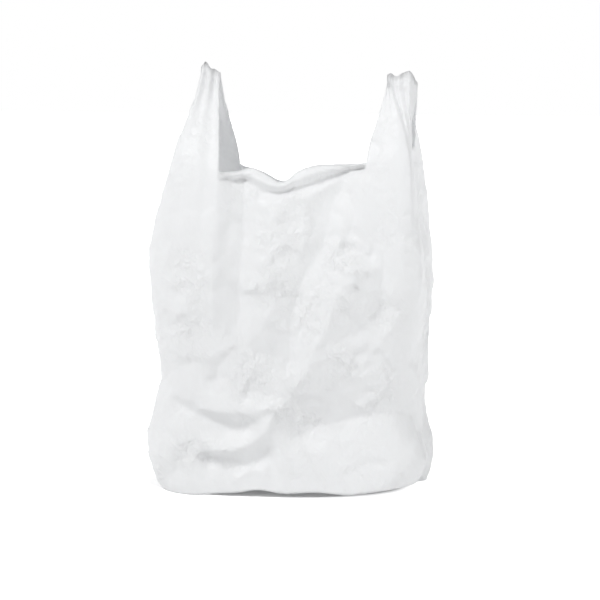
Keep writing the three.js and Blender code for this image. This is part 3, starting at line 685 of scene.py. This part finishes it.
straps = []
for is_right in (False, True):
    ribbons = []
    front_band = band_columns(False, is_right)
    rear_band = band_columns(True, is_right)
    for (place, front_i), (_, rear_i) in zip(front_band, rear_band):
        ribbon = []
        for index, front_or_rear in ((front_i, -1), (rear_i, 1)):
            foot = grid[index, -1]
            below = grid[index, -1 - slope_rows]
            gather = gather_point(place, is_right, front_or_rear)
            curve = strap_curve(foot, below, gather, place, front_or_rear, is_right)
            first = len(points)
            points.extend(curve)
            ribbon.append([vertex[index, -1]] + list(range(first, len(points))))
        crown = gather_point(place, is_right, 0)
        crown[2] += crown_drop * (inner_layer_share if not is_right and place > 1 else 1)
        points.append(crown)
        ribbons.append(ribbon[0] + [len(points) - 1] + ribbon[1][::-1])
    straps.append(np.array(ribbons))

points = np.array(points)

quads = []
for column in range(columns_count):
    after = (column + 1) % columns_count
    for row in range(1, rows_count):
        lower = row - 1
        quads.append((vertex[column, lower], vertex[after, lower], vertex[after, row], vertex[column, row]))
for strap, is_right in zip(straps, (False, True)):
    for before, after in zip(strap[:-1], strap[1:]):
        a, b = (before, after) if is_right else (after, before)
        for j in range(1, len(a)):
            quads.append((a[j - 1], b[j - 1], b[j], a[j]))

# A quad with two corners in the same place of the weld becomes a triangle or is left out
faces = []
for quad in quads:
    corners = list(dict.fromkeys(int(v) for v in quad))
    if len(corners) > 2:
        faces.append(corners)

# Slack and crumples
# The film is cut from a flat tube and is a little longer both ways than the shape it stands in, so it
# buckles. Blender's cloth lets it out from the shape drawn above, which holds it loosely.
slack_frames = 16
cloth_quality = 4
film_mass = 0.1
film_stiffness = 20
shear_share = 0.3
film_bending = 0.02
film_damping = 0.5
air_damping = 2
least_slack = 0.004
most_slack = 0.022
free_hold = 0.13
strap_hold = 0.16
# Where the film is most crumpled: place round, share of rim height, reach round and up in mm
crumpled = [
    (-0.1, 0.8, 55, 45), (-0.15, 0.64, 40, 40), (0.55, 0.74, 38, 30), (-0.75, 0.62, 30, 60),
    (0.2, 0.5, 30, 50), (-0.3, 0.42, 25, 60), (0.6, 0.4, 40, 40), (0.62, 0.6, 38, 30),
    (-0.8, 0.1, 45, 25), (0, 0.26, 60, 20), (1.5, 0.5, 40, 90), (3, 0.55, 120, 90), (4.5, 0.4, 40, 90),
    (3, 0.12, 160, 30),
]
least_crumpled = 0.25
# Flat facets between crisp creases: size of the facets, how much longer up than round, and the slope
# of their sides, inwards where it is below 0. A facet's mean height is its size, divided by facet_mean,
# times that slope.
facets = [(38, 1.3, 0.16), (30, 1.2, -0.16), (16, 1.2, 0.2), (11, 1.1, -0.15)]
facet_shift = 7
facet_warp = 0.25
facet_warp_scale = 0.8
facet_mean = 5


def surface_normals(places):
    normals = np.zeros(places.shape)
    left_strap, right_strap = straps
    for net in (np.concatenate([vertex, vertex[:1]]), left_strap[::-1], right_strap):
        a, b, c, d = (net[:-1, :-1], net[1:, :-1], net[1:, 1:], net[:-1, 1:])
        facing = np.cross(places[c] - places[a], places[d] - places[b])
        for corner in (a, b, c, d):
            np.add.at(normals, corner, facing)
    lengths = np.linalg.norm(normals, axis=1, keepdims=True)
    return normals / np.where(lengths > 0, lengths, 1)


def facet_height(place, size):
    """Distance in mm from the nearest crease, for a place given in facet sizes."""
    nearest, next_nearest = noise.voronoi(place)[1][:2]
    across = next_nearest - nearest
    return ((nearest + next_nearest) / 2 - place).dot(across) / across.length * size


body_vertices = vertex[:, floor_rings:]
slack_share = np.zeros(len(points))
for place, up, reach_round, reach_up in crumpled:
    away = around - round_distance(place)
    away -= np.round(away / round_tube) * round_tube
    patch = np.exp(-(away / reach_round) ** 2 - ((heights - up * rim_height) / reach_up) ** 2)
    slack_share[body_vertices] = np.maximum(slack_share[body_vertices], patch)
hold_share = np.full(len(points), strap_hold)
hold_share[body_vertices] = free_hold
hold_share[vertex[:, :floor_rings + 1]] = 1

start_lift = np.zeros(len(points))
for number, (size, stretch, slope) in enumerate(facets):
    places = points / (size, size, size * stretch) + facet_shift * number
    for v, place in enumerate(places.tolist()):
        place = Vector(place)
        place += facet_warp * noise.noise_vector(place * facet_warp_scale)
        start_lift[v] += slope * (facet_height(place, size) - size / facet_mean)
start_lift *= mix(least_crumpled, 1, slack_share) * (hold_share < 1)
start_points = points + surface_normals(points) * start_lift[:, None]

middle = (points.min(0) + points.max(0)) / 2
middle[2] = 0

film_mesh = bpy.data.meshes.new("film_bag")
film_mesh.from_pydata(((start_points - middle) * MM).tolist(), [], faces)
film_mesh.attributes.new("crumpled", "FLOAT", "POINT").data.foreach_set("value", slack_share)
film_bag = bpy.data.objects.new("film_bag", film_mesh)
scene.collection.objects.link(film_bag)


def add_group(piece, name, weights):
    group = piece.vertex_groups.new(name=name)
    for v, weight in enumerate(weights.tolist()):
        group.add([v], weight, "REPLACE")
    return name


def apply_modifiers(piece):
    evaluated = piece.evaluated_get(bpy.context.evaluated_depsgraph_get())
    made = bpy.data.meshes.new_from_object(evaluated)
    piece.modifiers.clear()
    piece.shape_key_clear()
    piece.data = made


film_bag.shape_key_add(name="start")
cut = film_bag.shape_key_add(name="cut")
cut.data.foreach_set("co", ((points - middle) * MM).ravel())
cloth = film_bag.modifiers.new("slack", "CLOTH")
cloth.settings.rest_shape_key = cut
cloth.settings.quality = cloth_quality
cloth.settings.mass = film_mass
cloth.settings.tension_stiffness = film_stiffness
cloth.settings.compression_stiffness = film_stiffness
cloth.settings.shear_stiffness = shear_share * film_stiffness
cloth.settings.bending_model = "ANGULAR"
cloth.settings.bending_stiffness = film_bending
cloth.settings.bending_damping = film_damping
cloth.settings.air_damping = air_damping
cloth.settings.effector_weights.gravity = 0
cloth.settings.shrink_min = -least_slack
cloth.settings.shrink_max = -most_slack
cloth.settings.vertex_group_shrink = add_group(film_bag, "slack", slack_share)
cloth.settings.vertex_group_mass = add_group(film_bag, "hold", hold_share)
cloth.collision_settings.use_collision = False
cloth.point_cache.frame_start = 1
cloth.point_cache.frame_end = slack_frames
for frame_number in range(1, slack_frames + 1):
    scene.frame_set(frame_number)
apply_modifiers(film_bag)
film_bag.data.shade_smooth()
wall = film_bag.modifiers.new("wall", "SOLIDIFY")
wall.thickness = film_wall * MM
wall.offset = -1
apply_modifiers(film_bag)

# Milky white film: thin enough to glow where light falls through it, with a satin skin, faint draw
# lines along the tube and crinkles too fine for the mesh
film_white = (0.91, 0.915, 0.92, 1)
glow_white = (0.93, 0.935, 0.94, 1)
film_glow = 0.37
film_roughness = 0.4
film_shine = 0.3
# Crinkles in the skin: cells per metre round and up, and slope of their sides
skin_crinkles = [(75, 60, 0.24), (170, 140, 0.26)]
crinkle_bends = 60
crinkle_bend = 0.008
# Draw lines: lines per metre round, breaks in them per metre up, and slope of their sides
draw_lines = (420, 9, 0.06)
# The crinkles come in patches, so many per metre, and are least where the film isn't crumpled
patch_scale = 16
patch_edges = (0.38, 0.62)
between_patches = 0.15
least_crinkled = 0.35


def add_node(nodes, kind, **settings):
    node = nodes.new(kind)
    for name, value in settings.items():
        setattr(node, name, value)
    return node


def add_math(nodes, links, operation, first, second):
    node = add_node(nodes, "ShaderNodeMath", operation=operation)
    for socket, value in zip(node.inputs, (first, second)):
        if isinstance(value, (int, float)):
            socket.default_value = value
        else:
            links.new(value, socket)
    return node.outputs[0]


white_film, nodes, links, shader = new_material("white_film")
place = add_node(nodes, "ShaderNodeTexCoord").outputs["Object"]
patches = add_node(nodes, "ShaderNodeTexNoise")
patches.inputs["Scale"].default_value = patch_scale
patches.inputs["Detail"].default_value = 2
links.new(place, patches.inputs["Vector"])
patchy = add_node(nodes, "ShaderNodeMapRange", interpolation_type="SMOOTHSTEP")
patchy.inputs["From Min"].default_value = patch_edges[0]
patchy.inputs["From Max"].default_value = patch_edges[1]
patchy.inputs["To Min"].default_value = between_patches
links.new(patches.outputs["Fac"], patchy.inputs["Value"])
crumpled_share = add_node(nodes, "ShaderNodeAttribute", attribute_name="crumpled").outputs["Fac"]
crinkled = add_node(nodes, "ShaderNodeMapRange")
crinkled.inputs["To Min"].default_value = least_crinkled
links.new(crumpled_share, crinkled.inputs["Value"])

bend = add_node(nodes, "ShaderNodeTexNoise")
bend.inputs["Scale"].default_value = crinkle_bends
links.new(place, bend.inputs["Vector"])
bend_offset = add_node(nodes, "ShaderNodeVectorMath", operation="MULTIPLY_ADD")
links.new(bend.outputs["Color"], bend_offset.inputs[0])
bend_offset.inputs[1].default_value = (crinkle_bend, crinkle_bend, crinkle_bend)
links.new(place, bend_offset.inputs[2])

skin_height = 0
for number, (cells_round, cells_up, slope) in enumerate(skin_crinkles):
    stretch = add_node(nodes, "ShaderNodeMapping")
    stretch.inputs["Scale"].default_value = (1, 1, cells_up / cells_round)
    stretch.inputs["Location"].default_value = (number, number, number)
    links.new(bend_offset.outputs[0], stretch.inputs["Vector"])
    cells = add_node(nodes, "ShaderNodeTexVoronoi", feature="DISTANCE_TO_EDGE")
    cells.inputs["Scale"].default_value = cells_round
    links.new(stretch.outputs[0], cells.inputs["Vector"])
    height = add_math(nodes, links, "MULTIPLY", cells.outputs["Distance"], slope / cells_round)
    skin_height = add_math(nodes, links, "SUBTRACT" if number else "ADD", height, skin_height)
skin_height = add_math(nodes, links, "MULTIPLY", skin_height, patchy.outputs["Result"])
skin_height = add_math(nodes, links, "MULTIPLY", skin_height, crinkled.outputs["Result"])

lines_round, lines_up, line_slope = draw_lines
stretch = add_node(nodes, "ShaderNodeMapping")
stretch.inputs["Scale"].default_value = (1, 1, lines_up / lines_round)
links.new(place, stretch.inputs["Vector"])
lines = add_node(nodes, "ShaderNodeTexNoise")
lines.inputs["Scale"].default_value = lines_round
lines.inputs["Detail"].default_value = 1
links.new(stretch.outputs[0], lines.inputs["Vector"])
line_height = add_math(nodes, links, "MULTIPLY", lines.outputs["Fac"], line_slope / lines_round)
skin_height = add_math(nodes, links, "ADD", skin_height, line_height)

bump = add_node(nodes, "ShaderNodeBump")
bump.inputs["Distance"].default_value = 1
links.new(skin_height, bump.inputs["Height"])
links.new(bump.outputs["Normal"], shader.inputs["Normal"])
shader.inputs["Base Color"].default_value = film_white
shader.inputs["Roughness"].default_value = film_roughness
shader.inputs["Specular IOR Level"].default_value = film_shine
glowing = add_node(nodes, "ShaderNodeBsdfTranslucent")
glowing.inputs["Color"].default_value = glow_white
links.new(bump.outputs["Normal"], glowing.inputs["Normal"])
blend = add_node(nodes, "ShaderNodeMixShader")
blend.inputs[0].default_value = film_glow
links.new(shader.outputs[0], blend.inputs[1])
links.new(glowing.outputs[0], blend.inputs[2])
links.new(blend.outputs[0], nodes["Material Output"].inputs["Surface"])
film_bag.data.materials.append(white_film)
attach(film_bag, "root")
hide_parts("liner")
